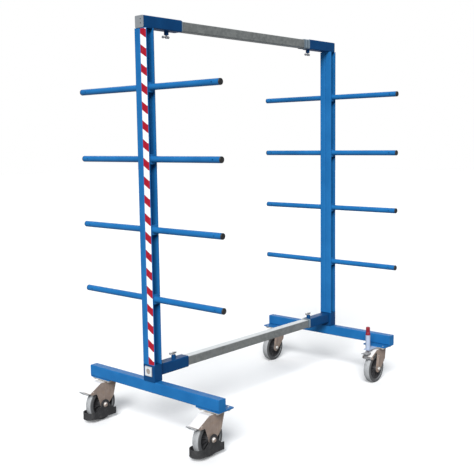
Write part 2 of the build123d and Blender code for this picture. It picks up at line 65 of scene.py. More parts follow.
# ---- camera at the photograph's viewing angle -------------------------------------------------
CAMERA_PLACE = (-3.4200, -2.9502, 1.5223)       # metres
CAMERA_TURN = (41.54, -6.5, -0.78)              # yaw, pitch and roll in degrees
SENSOR_WIDTH, FOCAL_LENGTH = 36.0, 59.64        # millimetres
CAMERA_SHIFT = (0.008354, -0.013776)            # shares of the picture's width
CLIP_NEAR, CLIP_FAR = 0.1, 80.0


def make_camera():
    yaw, pitch, roll = [math.radians(turn) for turn in CAMERA_TURN]
    level = Vector((math.cos(yaw), math.sin(yaw), 0))
    forward = math.cos(pitch) * level + math.sin(pitch) * UP
    right = forward.cross(UP).normalized()
    above = right.cross(forward)
    across = math.cos(roll) * right + math.sin(roll) * above
    above = math.cos(roll) * above - math.sin(roll) * right
    data = bpy.data.cameras.new("camera")
    camera = bpy.data.objects.new("camera", data)
    turn = Matrix((across, above, -forward)).transposed()
    camera.matrix_world = Matrix.Translation(CAMERA_PLACE) @ turn.to_4x4()
    data.sensor_width = SENSOR_WIDTH
    data.lens = FOCAL_LENGTH
    data.shift_x, data.shift_y = CAMERA_SHIFT
    data.clip_start, data.clip_end = CLIP_NEAR, CLIP_FAR
    bpy.context.scene.collection.objects.link(camera)
    bpy.context.scene.camera = camera


# ---- procedural materials ---------------------------------------------------------------------
SOCKETS = {"metallic": "Metallic", "roughness": "Roughness", "specular": "Specular IOR Level"}
MIX_FACTOR, MIX_FIRST, MIX_SECOND, MIX_RESULT = 0, 6, 7, 2      # a colour Mix node's sockets


def shade(colour, share):
    return tuple(share * part for part in colour)


def upright(share):
    """Stretch of a pattern that is drawn out in height."""
    return (1.0, 1.0, share)


class Surface:
    """One node-based material; every pattern is placed by the object's own coordinates."""

    def __init__(self, name, **settings):
        self.material = bpy.data.materials.new(name)
        self.material.use_nodes = True
        self.tree = self.material.node_tree
        self.shader = self.tree.nodes["Principled BSDF"]
        for socket, value in settings.items():
            self.shader.inputs[SOCKETS[socket]].default_value = value
        self.place = self.tree.nodes.new("ShaderNodeTexCoord").outputs["Object"]
        self.normal = None

    def feed(self, socket, value):
        if isinstance(value, bpy.types.NodeSocket):
            self.tree.links.new(value, socket)
        else:
            socket.default_value = value

    def stretched(self, stretch):
        if stretch is None:
            return self.place
        node = self.tree.nodes.new("ShaderNodeMapping")
        self.feed(node.inputs["Vector"], self.place)
        node.inputs["Scale"].default_value = stretch
        return node.outputs["Vector"]

    def noise(self, scale, detail, stretch=None, rough=0.55):
        node = self.tree.nodes.new("ShaderNodeTexNoise")
        self.feed(node.inputs["Vector"], self.stretched(stretch))
        node.inputs["Scale"].default_value = scale
        node.inputs["Detail"].default_value = detail
        node.inputs["Roughness"].default_value = rough
        return node.outputs["Fac"]

    def cells(self, scale, output="Color"):
        node = self.tree.nodes.new("ShaderNodeTexVoronoi")
        self.feed(node.inputs["Vector"], self.place)
        node.inputs["Scale"].default_value = scale
        return node.outputs[output]

    def maths(self, operation, first, second=0.0, third=0.0):
        node = self.tree.nodes.new("ShaderNodeMath")
        node.operation = operation
        for socket, value in zip(node.inputs, (first, second, third)):
            self.feed(socket, value)
        return node.outputs["Value"]

    def ramp(self, factor, low, high, start=0.0, end=1.0):
        """From start to end as the factor goes from low to high."""
        node = self.tree.nodes.new("ShaderNodeMapRange")
        for socket, value in zip(node.inputs, (factor, low, high, start, end)):
            self.feed(socket, value)
        return node.outputs["Result"]

    def wander(self, scale, detail, low=0.0, high=1.0):
        """Soft noise that spreads over the whole way from low to high."""
        return self.ramp(self.noise(scale, detail), 0.3, 0.7, low, high)

    def patches(self, scale, detail, low, high, most=1.0, stretch=None, rough=0.55):
        """Patches: 0 where the noise is below low, most where it is above high."""
        return self.ramp(self.noise(scale, detail, stretch, rough), low, high, 0.0, most)

    def mix(self, factor, first, second):
        node = self.tree.nodes.new("ShaderNodeMix")
        node.data_type = "RGBA"
        self.feed(node.inputs[MIX_FACTOR], factor)
        for socket, colour in ((MIX_FIRST, first), (MIX_SECOND, second)):
            self.feed(node.inputs[socket], (*colour, 1.0) if isinstance(colour, tuple) else colour)
        return node.outputs[MIX_RESULT]

    def part_of(self, vector, axis):
        node = self.tree.nodes.new("ShaderNodeSeparateXYZ")
        self.feed(node.inputs[0], vector)
        return node.outputs[axis]

    def facing_up(self):
        normal = self.tree.nodes.new("ShaderNodeNewGeometry").outputs["Normal"]
        return self.part_of(normal, "Z")

    def edges(self, radius):
        """Near 1 on sharp outer edges and 0 on flat faces."""
        bevel = self.tree.nodes.new("ShaderNodeBevel")
        bevel.samples = 4
        bevel.inputs["Radius"].default_value = radius
        flat = self.tree.nodes.new("ShaderNodeNewGeometry").outputs["Normal"]
        dot = self.tree.nodes.new("ShaderNodeVectorMath")
        dot.operation = "DOT_PRODUCT"
        self.feed(dot.inputs[0], bevel.outputs["Normal"])
        self.feed(dot.inputs[1], flat)
        return self.ramp(dot.outputs["Value"], 0.99, 0.85)

    def bump(self, height, depth, strength):
        node = self.tree.nodes.new("ShaderNodeBump")
        node.inputs["Strength"].default_value = strength
        node.inputs["Distance"].default_value = depth
        self.feed(node.inputs["Height"], height)
        if self.normal is not None:
            self.feed(node.inputs["Normal"], self.normal)
        self.normal = node.outputs["Normal"]
        self.feed(self.shader.inputs["Normal"], self.normal)

    def colour(self, value):
        self.feed(self.shader.inputs["Base Color"], value)

    def roughness(self, value):
        self.feed(self.shader.inputs["Roughness"], value)

    def moulded_grain(self):
        self.bump(self.noise(900.0, 1.0), 0.12 * MM, 0.5)

    def metal(self, value):
        self.feed(self.shader.inputs["Metallic"], value)


PAINT_DUST = (0.06, 0.12, 0.19)
# Light blue of the rubbed edges: partly paint wear, partly a painted edge highlight.
RUBBED_EDGE_HIGHLIGHT = (0.07, 0.26, 0.50)


def powder_coat(name, dark, light, worn_and_highlit, rough):
    """Powder coat: orange peel, faint mottling, scuffs, dust on top, and rubbed edges painted light
    blue, partly wear and partly a painted edge highlight.
    """
    s = Surface(name, specular=0.12)
    paint = s.mix(s.wander(9.0, 4.0), dark, light)
    paint = s.mix(s.patches(650.0, 2.0, 0.42, 0.6, 0.22), paint, shade(dark, 0.7))
    scuff = s.patches(26.0, 6.0, 0.66, 0.74, 0.14, upright(0.12), 0.7)
    paint = s.mix(scuff, paint, tuple(min(1.0, part * 1.4 + 0.05) for part in light))
    dust = s.ramp(s.facing_up(), 0.6, 1.0, 0.0, 0.06)
    dust = s.maths("MULTIPLY", dust, s.patches(38.0, 5.0, 0.35, 0.7))
    paint = s.mix(dust, paint, PAINT_DUST)
    # Rubbed edges are painted light blue: partly wear, partly a painted edge highlight.
    rubbed_highlit_edges = s.maths("MULTIPLY", s.edges(1.2 * MM), s.patches(75.0, 4.0, 0.56, 0.66))
    s.colour(s.mix(s.maths("MULTIPLY", rubbed_highlit_edges, worn_and_highlit), paint, RUBBED_EDGE_HIGHLIGHT))
    s.roughness(s.wander(55.0, 4.0, rough - 0.06, rough + 0.1))
    s.bump(s.noise(430.0, 2.0), 0.25 * MM, 0.35)
    s.bump(s.noise(60.0, 3.0), 0.4 * MM, 0.15)
    return s.material


SPANGLES = 70.0             # zinc crystals to the metre
ALONG_BAR = (0.02, 1.0, 1.0)    # stretch of a pattern that is drawn out along the bars
ZINC_DARK, ZINC_LIGHT = (0.175, 0.185, 0.182), (0.245, 0.257, 0.25)
# ZINC_TOP_HIGHLIGHT is a near-white painted highlight for upward faces.
ZINC_CLOUD, ZINC_RUBBED, ZINC_TOP_HIGHLIGHT = (0.27, 0.282, 0.278), (0.15, 0.16, 0.16), (0.74, 0.76, 0.76)


def galvanised_steel():
    """Drawn tube with zinc spangles, rub marks of the sliding sleeves and upward faces painted
    near-white as a highlight.
    """
    s = Surface("galvanised", metallic=0.35)
    grain = s.part_of(s.cells(SPANGLES), "X")
    zinc = s.mix(grain, ZINC_DARK, ZINC_LIGHT)
    zinc = s.mix(s.patches(14.0, 5.0, 0.4, 0.68, 0.4), zinc, ZINC_CLOUD)
    zinc = s.mix(s.patches(160.0, 3.0, 0.55, 0.72, 0.45, ALONG_BAR, 0.6), zinc, ZINC_RUBBED)
    # Upward faces are painted near-white as a highlight.
    lit_top = s.ramp(s.facing_up(), 0.5, 0.95, 0.0, 0.75)
    s.colour(s.mix(lit_top, zinc, ZINC_TOP_HIGHLIGHT))
    s.roughness(s.ramp(grain, 0.0, 1.0, 0.4, 0.56))
    s.bump(s.cells(SPANGLES, "Distance"), 0.2 * MM, 0.3)
    s.bump(s.noise(300.0, 2.0, ALONG_BAR), 0.2 * MM, 0.35)
    return s.material


YELLOW_TINT = (0.95, 0.82, 0.62)
# SHEET_HIGHLIGHT is the pale colour of the painted highlight on tops and edges.
SHEET_GRIME, SHEET_HIGHLIGHT = (0.07, 0.06, 0.05), (0.86, 0.85, 0.84)


def zinc_plate(name, dark, light, metallic, rough):
    """Pressed, zinc-plated sheet: mottling, draw streaks, grime, and tops and edges painted pale as a
    highlight.
    """
    s = Surface(name)
    plate = s.mix(s.wander(24.0, 5.0), dark, light)
    tint = tuple(part * share for part, share in zip(light, YELLOW_TINT))
    plate = s.mix(s.patches(55.0, 3.0, 0.5, 0.72, 0.35), plate, tint)
    streaks = s.patches(210.0, 3.0, 0.5, 0.72, 0.3, upright(0.06))
    plate = s.mix(streaks, plate, shade(dark, 0.6))
    grime = s.patches(18.0, 6.0, 0.56, 0.74, 0.4, rough=0.7)
    plate = s.mix(grime, plate, SHEET_GRIME)
    # Painted highlight: upward faces and sharp edges are painted pale; the metal share drops there and
    # on grime.
    lit_top = s.ramp(s.facing_up(), 0.3, 0.85, 0.0, 0.8)
    top_and_edge_highlight = s.maths("MAXIMUM", s.maths("MULTIPLY", s.edges(1.0 * MM), 0.5), lit_top)
    s.colour(s.mix(top_and_edge_highlight, plate, SHEET_HIGHLIGHT))
    grime_and_lit_top = s.maths("MAXIMUM", grime, lit_top)
    s.metal(s.ramp(grime_and_lit_top, 0.0, 0.8, metallic, metallic * 0.15))
    s.roughness(s.wander(85.0, 4.0, rough, rough + 0.2))
    s.bump(s.noise(520.0, 2.0, upright(0.25)), 0.15 * MM, 0.4)
    return s.material


PLASTIC_GRIME = (0.10, 0.095, 0.09)


def plastic(name, dark, light, rough, grime):
    """Moulded plastic: fine spark-eroded grain, faint flow marks and grime."""
    s = Surface(name)
    body = s.mix(s.noise(16.0, 3.0), dark, light)
    s.colour(s.mix(s.patches(42.0, 6.0, 0.54, 0.74, grime, rough=0.7), body, PLASTIC_GRIME))
    s.roughness(s.wander(65.0, 3.0, rough - 0.06, rough + 0.12))
    s.moulded_grain()
    return s.material


BUSH_BAND = 27.5 * MM       # pitch of the bands round a guide bush
BUSH_DARK, BUSH_LIGHT = (0.090, 0.125, 0.165), (0.130, 0.175, 0.215)
# BUSH_RIDGE_HIGHLIGHT paints the bands' ridges lighter as a highlight.
BUSH_RIDGE_HIGHLIGHT = (0.20, 0.255, 0.295)


def bush_plastic():
    """Milky blue-grey plastic with moulded bands that run round the bush; the bands' ridges are painted
    lighter as a highlight.
    """
    s = Surface("bush_plastic", specular=0.4)
    body = s.mix(s.noise(18.0, 3.0), BUSH_DARK, BUSH_LIGHT)
    along = s.maths("MULTIPLY", s.part_of(s.place, "X"), 2 * math.pi / BUSH_BAND)
    band = s.ramp(s.maths("SINE", along), -0.5, 0.5)
    # The ridges of the bands are painted lighter as a highlight.
    s.colour(s.mix(band, body, BUSH_RIDGE_HIGHLIGHT))
    s.roughness(s.wander(65.0, 3.0, 0.42, 0.58))
    s.bump(band, 0.8 * MM, 0.6)
    s.moulded_grain()
    return s.material


TREAD_DARK, TREAD_LIGHT = (0.31, 0.32, 0.33), (0.40, 0.41, 0.42)
# The side walls' colours are darker to paint in the shade on the tyre's sides.
SHADED_WALL_DARK, SHADED_WALL_LIGHT = (0.075, 0.077, 0.08), (0.11, 0.112, 0.115)
TYRE_DIRT = (0.12, 0.115, 0.11)


def rubber():
    """Grey tyre: light dull tread, side walls painted darker as shade, fine pits and rubbed-in floor
    dirt.
    """
    s = Surface("tyre_grey", specular=0.3)
    tread = s.mix(s.noise(30.0, 4.0), TREAD_DARK, TREAD_LIGHT)
    # Side walls are painted darker than the tread as shade.
    shaded_wall = s.mix(s.noise(30.0, 4.0), SHADED_WALL_DARK, SHADED_WALL_LIGHT)
    normal = s.tree.nodes.new("ShaderNodeTexCoord").outputs["Normal"]
    sideways = s.maths("ABSOLUTE", s.part_of(normal, "Y"))
    body = s.mix(s.ramp(sideways, 0.55, 0.85), tread, shaded_wall)
    s.colour(s.mix(s.patches(70.0, 7.0, 0.5, 0.72, 0.5, rough=0.75), body, TYRE_DIRT))
    s.roughness(s.wander(120.0, 3.0, 0.62, 0.82))
    s.bump(s.noise(900.0, 2.0), 0.2 * MM, 0.5)
    s.bump(s.noise(95.0, 5.0), 0.4 * MM, 0.3)
    return s.material


TAPE_PITCH = 92.7 * MM      # height of a red and a white band together
TAPE_START = 386.9 * MM     # height where a red band starts, at the rack's centre plane
TAPE_SLANT = -0.62          # rise of the bands' slant to a metre of width
RED_PART = 0.45             # share of the pitch that is red
BAND_BLUR = 0.012           # width of a band's soft edge, as a share of the pitch
TAPE_WHITE = (0.80, 0.83, 0.85), (0.86, 0.88, 0.89)
TAPE_RED = (0.31, 0.003, 0.014), (0.38, 0.005, 0.022)
TAPE_DIRT = (0.22, 0.21, 0.20)


def striped_tape():
    """Red and white hazard tape: slanting bands in the film, light soiling and slight waves."""
    s = Surface("tape", specular=0.3)
    y, z = s.part_of(s.place, "Y"), s.part_of(s.place, "Z")
    slant = s.maths("MULTIPLY_ADD", y, TAPE_SLANT, s.maths("SUBTRACT", z, TAPE_START))
    band = s.maths("FRACT", s.maths("DIVIDE", slant, TAPE_PITCH))
    band = s.maths("ADD", band, s.maths("MULTIPLY", s.noise(600.0, 1.0), BAND_BLUR))
    starts = s.ramp(band, 0.0, BAND_BLUR)
    ends = s.ramp(band, RED_PART + BAND_BLUR, RED_PART)
    white, red = s.mix(s.noise(45.0, 4.0), *TAPE_WHITE), s.mix(s.noise(45.0, 4.0), *TAPE_RED)
    film = s.mix(s.maths("MULTIPLY", starts, ends), white, red)
    dirt = s.patches(60.0, 7.0, 0.58, 0.75, 0.22, upright(0.3), 0.7)
    s.colour(s.mix(dirt, film, TAPE_DIRT))
    s.roughness(s.wander(90.0, 3.0, 0.25, 0.42))
    s.bump(s.noise(22.0, 2.0), 0.6 * MM, 0.25)
    return s.material


SLEEVE_HALF = 30 * MM       # half of a sleeve's height and width
PLUG_HALF = 25.5 * MM       # half of an end plug's height and width
PLUG_GREY = (0.19, 0.205, 0.22), (0.25, 0.265, 0.28)
PLUG_WHITE = (0.58, 0.61, 0.64), (0.66, 0.69, 0.71)
# PLUG_RECESS_SHADE and PLUG_GROOVE_SHADE are painted shade for the recess and the groove.
PLUG_RECESS_SHADE, PLUG_GROOVE_SHADE, PLUG_DIRT = (0.30, 0.26, 0.23), (0.36, 0.37, 0.38), (0.12, 0.11, 0.10)
# HOLE_SHADE_BLACK paints the shade of the pin holes as black dots.
HOLE_SHADE_BLACK = (0.02, 0.02, 0.022)
RECESS_RADIUS = 14.9 * MM
HOLE_SIDE = 10.0 * MM       # from the upper plug's middle to its holes, towards the front
HOLE_LIFTS = (-8.0 * MM, 12.0 * MM)
HOLE_RADIUS = 3.25 * MM
BETWEEN_PLUGS = 1.0         # a height between the lower and the upper plug


def near_plug_plastic():
    """Grey plug with the shade of two pin holes painted on above as black dots, white plug with the
    shade of a round recess and of a groove painted on below.
    """
    top_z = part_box("near_top_sleeve")[1].z - SLEEVE_HALF
    bottom_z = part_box("near_bottom_sleeve")[0].z + SLEEVE_HALF
    s = Surface("near_plug")
    grey, white = s.mix(s.noise(30.0, 4.0), *PLUG_GREY), s.mix(s.noise(30.0, 4.0), *PLUG_WHITE)
    y, z = s.part_of(s.place, "Y"), s.part_of(s.place, "Z")

    def reach(across, up):
        squares = [s.maths("POWER", length, 2.0) for length in (across, up)]
        return s.maths("SQRT", s.maths("ADD", *squares))

    height = s.maths("SUBTRACT", z, bottom_z)
    # The recess is a painted darker disc: painted shade.
    recess_shade = s.ramp(reach(y, height), RECESS_RADIUS + 0.2 * MM, RECESS_RADIUS - 0.2 * MM)
    white = s.mix(recess_shade, white, PLUG_RECESS_SHADE)
    # The groove round the plug is a painted darker ring: painted shade.
    square = s.maths("MAXIMUM", s.maths("ABSOLUTE", y), s.maths("ABSOLUTE", height))
    groove_shade = s.ramp(square, PLUG_HALF - 4.5 * MM, PLUG_HALF - 3.5 * MM, 0.0, 0.7)
    white = s.mix(groove_shade, white, PLUG_GROOVE_SHADE)
    body = s.mix(s.ramp(z, BETWEEN_PLUGS, BETWEEN_PLUGS + 0.01), white, grey)
    # The pin holes are painted black dots: painted shade.
    for lift in HOLE_LIFTS:
        away = reach(s.maths("ADD", y, HOLE_SIDE), s.maths("SUBTRACT", z, top_z + lift))
        hole_shade = s.ramp(away, HOLE_RADIUS + 0.15 * MM, HOLE_RADIUS - 0.15 * MM)
        body = s.mix(hole_shade, body, HOLE_SHADE_BLACK)
    s.colour(s.mix(s.patches(70.0, 6.0, 0.56, 0.75, 0.3, rough=0.7), body, PLUG_DIRT))
    s.roughness(s.wander(65.0, 3.0, 0.45, 0.6))
    s.moulded_grain()
    return s.material


COAT_DARK, COAT_LIGHT = (0.020, 0.020, 0.021), (0.038, 0.038, 0.040)
# COAT_RUBBED_HIGHLIGHT: light grey on rubbed edges, partly wear and partly a painted edge highlight.
COAT_DUST, COAT_RUBBED_HIGHLIGHT = (0.16, 0.155, 0.15), (0.28, 0.27, 0.26)


def textured_black():
    """Coarse matte black coat on sheet, with scraped grey patches and rubbed edges painted light grey,
    partly wear and partly a painted edge highlight.
    """
    s = Surface("guard_black", specular=0.35)
    body = s.mix(s.noise(28.0, 4.0), COAT_DARK, COAT_LIGHT)
    body = s.mix(s.patches(45.0, 6.0, 0.5, 0.75, 0.28, rough=0.7), body, COAT_DUST)
    # Rubbed edges are painted light grey: partly wear, partly a painted edge highlight.
    rubbed_highlit_edges = s.maths("MULTIPLY", s.edges(1.2 * MM), s.patches(60.0, 4.0, 0.48, 0.62, 0.6))
    s.colour(s.mix(rubbed_highlit_edges, body, COAT_RUBBED_HIGHLIGHT))
    s.roughness(s.wander(70.0, 4.0, 0.5, 0.75))
    s.bump(s.noise(380.0, 3.0), 0.4 * MM, 0.5)
    return s.material


BLUE_DARK, BLUE_LIGHT = (0.010, 0.120, 0.335), (0.016, 0.152, 0.400)
# NAVY is a darker copy of the blue paint, for the base_paint slot and the welds.
NAVY_DARK, NAVY_LIGHT = (0.002, 0.041, 0.138), (0.004, 0.059, 0.182)
PAINTS = {                  # dark and light colour, share of the edges that are rubbed and given a painted highlight, roughness
    "rail_paint": (BLUE_DARK, BLUE_LIGHT, 0.7, 0.42),
    "blue_paint": (BLUE_DARK, BLUE_LIGHT, 0.6, 0.42),
    "base_paint": (NAVY_DARK, NAVY_LIGHT, 0.6, 0.42),
    "foot_plate_paint": (BLUE_DARK, BLUE_LIGHT, 0.9, 0.42),
    "arm_paint": (BLUE_DARK, BLUE_LIGHT, 0.9, 0.38),
}
PLATINGS = {                # dark and light colour, metallic share, roughness
    "zinc_head": ((0.55, 0.54, 0.51), (0.72, 0.71, 0.68), 0.6, 0.34),
    "zinc_fork": ((0.28, 0.212, 0.178), (0.39, 0.312, 0.266), 0.3, 0.42),
    "screw_steel": ((0.17, 0.18, 0.20), (0.28, 0.29, 0.31), 0.35, 0.34),
}
PLASTICS = {                # dark and light colour, roughness, grime
    "plug_plastic": ((0.10, 0.105, 0.11), (0.15, 0.155, 0.16), 0.5, 0.25),
    "cap_plastic": ((0.008, 0.008, 0.009), (0.018, 0.018, 0.02), 0.42, 0.1),
    "rim_plastic": ((0.02, 0.02, 0.022), (0.04, 0.04, 0.043), 0.45, 0.25),
    "pedal_grey": ((0.40, 0.41, 0.42), (0.50, 0.51, 0.52), 0.5, 0.4),
    "pedal_dark": ((0.22, 0.22, 0.225), (0.30, 0.30, 0.305), 0.5, 0.3),
    "lock_white": ((0.33, 0.40, 0.53), (0.41, 0.48, 0.61), 0.4, 0.18),
    "lock_red": ((0.20, 0.005, 0.014), (0.28, 0.008, 0.022), 0.35, 0.12),
}
MATERIALS = {
    "bush_plastic": bush_plastic(),
    "near_plug_plastic": near_plug_plastic(),
    "tape": striped_tape(),
    "galvanised": galvanised_steel(),
    "tyre_grey": rubber(),
    "guard_black": textured_black(),
}
for make, table in ((powder_coat, PAINTS), (zinc_plate, PLATINGS), (plastic, PLASTICS)):
    for name, values in table.items():
        MATERIALS[name] = make(name, *values)


# ---- mesh helpers -----------------------------------------------------------------------------
def finish_piece(name, bm, body, slot, sharp, stands_for=()):
    """Make the mesh a piece that rides on a body; edges sharper than sharp degrees stay crisp."""
    bmesh.ops.recalc_face_normals(bm, faces=bm.faces)
    mesh = bpy.data.meshes.new(name)
    bm.to_mesh(mesh)
    bm.free()
    mesh.shade_smooth()
    mesh.set_sharp_from_angle(angle=math.radians(sharp))
    mesh.materials.append(MATERIALS[slot])
    piece = bpy.data.objects.new(name, mesh)
    bpy.context.scene.collection.objects.link(piece)
    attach(piece, body)
    if stands_for:
        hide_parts(*stands_for)


def axes_across(axis):
    """Two unit vectors at right angles to the axis."""
    first = axis.cross(UP)
    if first.length < 1e-6:
        first = Vector((1, 0, 0))
    first.normalize()
    return first, axis.cross(first).normalized()


def turned_rows(bm, centre, axis, profile, segments, wave):
    """The profile, (radius, along) points in millimetres, at each step of a turn about the axis."""
    across, other = axes_across(axis)
    rows = []
    for i in range(segments):
        angle = 2 * math.pi * i / segments
        out = math.cos(angle) * across + math.sin(angle) * other
        row = []
        for index, (radius, along) in enumerate(profile):
            if wave is not None:
                radius = wave(index, angle, radius)
            row.append(bm.verts.new(centre + radius * MM * out + along * MM * axis))
        rows.append(row)
    return rows


def join_rows(bm, one, two, closed):
    """Faces between two rows of points; closed rows go on round to their start."""
    count = len(one)
    for k in range(count if closed else count - 1):
        after = (k + 1) % count
        bm.faces.new((one[k], one[after], two[after], two[k]))


def lathe(bm, centre, axis, profile, segments):
    """A turned ring: the profile is a closed loop."""
    rows = turned_rows(bm, centre, axis, profile, segments, None)
    for one, two in zip(rows, rows[1:] + rows[:1]):
        join_rows(bm, one, two, True)


def solid_lathe(bm, centre, axis, profile, segments, wave=None):
    """A turned solid: the profile starts and ends near the axis and is closed with discs."""
    rows = turned_rows(bm, centre, axis, profile, segments, wave)
    for one, two in zip(rows, rows[1:] + rows[:1]):
        join_rows(bm, one, two, False)
    bm.faces.new([row[0] for row in rows])
    bm.faces.new([row[-1] for row in reversed(rows)])


def sweep(bm, points, radii, sides=10, closed=False):
    """A round bead along the points, with its own radius at each."""
    count = len(points)
    rows = []
    for i, point in enumerate(points):
        before = points[i - 1] if closed or i else point
        after = points[(i + 1) % count] if closed or i < count - 1 else point
        first, second = axes_across((after - before).normalized())
        row = []
        for k in range(sides):
            angle = 2 * math.pi * k / sides
            out = math.cos(angle) * first + math.sin(angle) * second
            row.append(bm.verts.new(point + radii[i] * out))
        rows.append(row)
    following = rows[1:] + rows[:1] if closed else rows[1:]
    for one, two in zip(rows, following):
        join_rows(bm, one, two, True)
    if not closed:
        bm.faces.new(list(reversed(rows[0])))
        bm.faces.new(rows[-1])


BEAD_STEP = 1.6 * MM        # length between two sections of a weld bead
RIPPLE_PITCH = 4.2 * MM
RIPPLE_HEIGHT = 0.16        # as a share of the bead's radius


def bead_line(bm, start, end, radius):
    """Weld bead from start to end with the ripples of the travelling pool."""
    length = (end - start).length
    count = max(4, int(length / BEAD_STEP))
    points, radii = [], []
    for i in range(count + 1):
        share = i / count
        points.append(start.lerp(end, share))
        ripple = 1.0 + RIPPLE_HEIGHT * math.sin(share * length / RIPPLE_PITCH * 2 * math.pi)
        ripple += random.uniform(-0.05, 0.05)
        taper = min(1.0, 0.45 + 8 * min(share, 1 - share))
        radii.append(radius * ripple * taper)
    sweep(bm, points, radii)


def bead_ring(bm, centre, axis, ring_radius, radius):
    """Weld bead round a circle."""
    first, second = axes_across(axis)
    count = max(40, int(2 * math.pi * ring_radius / BEAD_STEP))
    ripples = round(2 * math.pi * ring_radius / RIPPLE_PITCH)
    points, radii = [], []
    for i in range(count):
        angle = 2 * math.pi * i / count
        points.append(centre + ring_radius * (math.cos(angle) * first + math.sin(angle) * second))
        ripple = 1.0 + RIPPLE_HEIGHT * math.sin(ripples * angle) + random.uniform(-0.04, 0.04)
        radii.append(radius * ripple)
    sweep(bm, points, radii, closed=True)


def block(bm, corners, thickness):
    """A flat outline given a thickness along a vector."""
    low = [bm.verts.new(corner) for corner in corners]
    high = [bm.verts.new(corner + thickness) for corner in corners]
    bm.faces.new(list(reversed(low)))
    bm.faces.new(high)
    count = len(corners)
    for i in range(count):
        k = (i + 1) % count
        bm.faces.new((low[i], low[k], high[k], high[i]))


def soften(thing, width):
    bevel = thing.modifiers.new("soft edges", "BEVEL")
    bevel.width = width
    bevel.segments = 2
    bevel.limit_method = "ANGLE"
    bevel.angle_limit = math.radians(40.0)
    bevel.harden_normals = True


# ---- the CAD nodes keep their shapes and get their finishes -----------------------------------
SOFT_EDGES = {              # widths in millimetres, by a part of the node's name
    "column_base": 0.8, "foot_beam": 0.8, "foot_plates": 0.8, "sleeve": 0.6,
    "_caster_heads": 0.5, "_fork": 0.5, "_guard": 0.8, "_rails": 0.4,
    "crossbars": 0.5, "end_plugs": 0.4, "lock_housing": 0.5, "_arms_": 0.4,
    "_clamp_screw": 0.3, "bush": 0.6,
}


def finish_node(node, thing):
    thing.data.materials.clear()
    thing.data.materials.append(MATERIALS[SLOT_OF[node]])
    widths = [width for part, width in SOFT_EDGES.items() if part in node]
    if widths:
        soften(thing, widths[0] * MM)


for node, thing in NODES.items():
    finish_node(node, thing)


# ---- wheels -----------------------------------------------------------------------------------
# Profiles here and below are (radius, along the axis) in millimetres.
TYRE_PROFILE = [
    (69, -20.6), (69.4, -21), (73.6, -21), (74.2, -20.3), (75.6, -20.3), (76.2, -21), (81.5, -21),
    (82.1, -20.5), (83.4, -20.3), (86.2, -18.9), (88.2, -16.6), (89.3, -13.8), (89.75, -9.5),
    (89.85, -0.7), (90, -0.3), (90, 0.3), (89.85, 0.7), (89.75, 9.5), (89.3, 13.8), (88.2, 16.6),
    (86.2, 18.9), (83.4, 20.3), (82.1, 20.5), (81.5, 21), (76.2, 21), (75.6, 20.3), (74.2, 20.3),
    (73.6, 21), (69.4, 21), (69, 20.6),
]
RIM_PROFILE = [
    (10.06, 28.6), (10.5, 29), (18.6, 29), (19.4, 28.6), (21.6, 26.4), (22, 25.6), (22.4, 14),
    (23.4, 9.0), (26, 7.2), (30, 6.4), (57.5, 5.4), (59.6, 6.4), (60.6, 9.0), (61.6, 17.4),
    (62.4, 18.6), (63.6, 19), (67.8, 19), (69, 18.2),
]
RIM_PROFILE += [(radius, -along) for radius, along in reversed(RIM_PROFILE)]
RIB_COUNT = 12
RIB_HALF = 1.6
RIB_OUTLINE = [(20.5, 3.0), (20.5, 22.0), (24.0, 17.0), (34.0, 13.0), (54.0, 12.4), (60.8, 14.5),
               (61.5, 3.0)]
WHEEL_SEGMENTS = 96


def make_wheel(caster):
    """Grooved tyre, and a rim with ribs on both sides of its web."""
    centre = Vector(JOINTS[f"{caster}_wheel_spin"]["pos_m"])
    body = f"{caster}_wheel"
    bm = bmesh.new()
    lathe(bm, centre, ALONG_Y, TYRE_PROFILE, WHEEL_SEGMENTS)
    finish_piece(f"{caster}_tyre_body", bm, body, "tyre_grey", 50.0, (f"{caster}_tyre",))
    bm = bmesh.new()
    lathe(bm, centre, ALONG_Y, RIM_PROFILE, WHEEL_SEGMENTS)
    for i in range(RIB_COUNT):
        angle = 2 * math.pi * (i + 0.5) / RIB_COUNT
        out = Vector((math.cos(angle), 0, math.sin(angle)))
        across = ALONG_Y.cross(out) * RIB_HALF * MM
        for side in (1, -1):
            corners = [centre + out * radius * MM + ALONG_Y * side * along * MM - across
                       for radius, along in RIB_OUTLINE]
            block(bm, corners, 2 * across)
    finish_piece(f"{caster}_rim_body", bm, body, "rim_plastic", 40.0, (f"{caster}_rim",))


# ---- casters ----------------------------------------------------------------------------------
# Stations of a pedal's bent sheet: x and z from the pivot and the half width, in millimetres.
LONG_ARM = [(-4, 0.5, 14), (-12, -2.5, 15), (-22, -6.2, 16.5), (-28.5, -8.6, 18),
            (-34, -6.8, 19.3), (-46, 1.5, 19.8), (-54, 7.4, 19.6), (-57.6, 10.6, 19),
            (-59.6, 14.8, 16.5)]
SHORT_ARM = [(-4, 0.5, 9), (-12, -1.6, 9), (-19.5, -4.4, 9), (-22.6, -3.0, 9),
             (-24.2, 5.0, 9), (-26.4, 18.0, 9), (-28.4, 30.4, 12)]
SHORT_TREAD = [(-49.8, 37.0, 16.5), (-47.6, 33.6, 19), (-43.6, 32.4, 20), (-30, 31.8, 20),
               (-10, 31.2, 20), (6, 30.8, 19.4), (9.6, 30.7, 17)]
PLATE_STEPS = 14            # faces across the sheet
PLATE_HALF = 1.9            # half of the sheet's thickness
PLATE_CROWN = 0.9           # how far the sheet's middle stands over its sides


